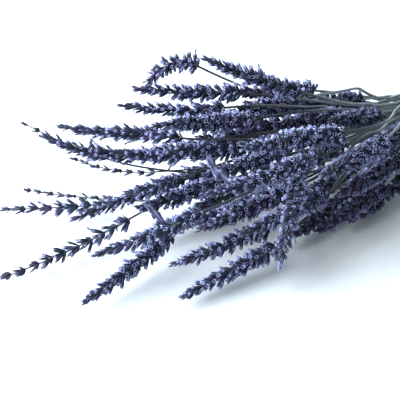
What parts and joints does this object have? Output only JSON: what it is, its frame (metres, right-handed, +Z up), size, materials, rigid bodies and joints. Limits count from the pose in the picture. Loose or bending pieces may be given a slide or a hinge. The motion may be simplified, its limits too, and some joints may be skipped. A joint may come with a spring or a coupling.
{
  "type": "bunch of dried lavender",
  "caption": "Bunch of dried lavender lying on its side: square stems held by an elastic band, each ending in a spike of small violet calyces.",
  "frame": {"origin": "on the surface the bunch lies on, under the middle of its bounding box", "axes": "+X from the flower tips towards the cut ends, +Y towards the back, +Z up"},
  "size_m": [0.3768, 0.1316, 0.0842],
  "materials": {
    "flowers": "dried violet calyces, matt and finely felted",
    "pale_flowers": "dried grey violet calyces, matt and finely felted",
    "stems": "dried grey green stem, matt with a soft sheen",
    "band": "plain tan natural rubber, satin"
  },
  "bodies": {
    "root": {"spike_01": "pale_flowers", "spike_02": "flowers", "spike_03": "flowers", "spike_04": "flowers", "spike_05": "flowers", "spike_06": "flowers", "spike_07": "flowers", "spike_08": "flowers", "spike_09": "pale_flowers", "spike_10": "pale_flowers", "spike_11": "pale_flowers", "spike_12": "pale_flowers", "spike_13": "flowers", "spike_14": "pale_flowers", "spike_15": "flowers", "spike_16": "flowers", "spike_17": "flowers", "spike_18": "flowers", "spike_19": "flowers", "spike_20": "flowers", "spike_21": "flowers", "spike_22": "flowers", "spike_23": "flowers", "spike_24": "flowers", "spike_25": "flowers", "spike_26": "flowers", "spike_27": "flowers", "spike_28": "flowers", "spike_29": "flowers", "spike_30": "flowers", "spike_31": "flowers", "spike_32": "flowers", "spike_33": "flowers", "spike_34": "flowers", "spike_35": "flowers", "spike_36": "flowers", "spike_37": "flowers", "spike_38": "flowers", "spike_39": "flowers", "spike_40": "flowers", "spike_41": "flowers", "spike_42": "flowers", "spike_43": "flowers", "spike_44": "flowers", "spike_45": "flowers", "spike_46": "flowers", "spike_47": "flowers", "spike_48": "flowers", "spike_49": "flowers", "spike_50": "flowers", "spike_51": "flowers", "stems_1": "stems", "stems_2": "stems", "stems_3": "stems", "stems_4": "stems", "stems_5": "stems", "stems_6": "stems", "stems_7": "stems", "band": "band"}
  },
  "joints": []
}
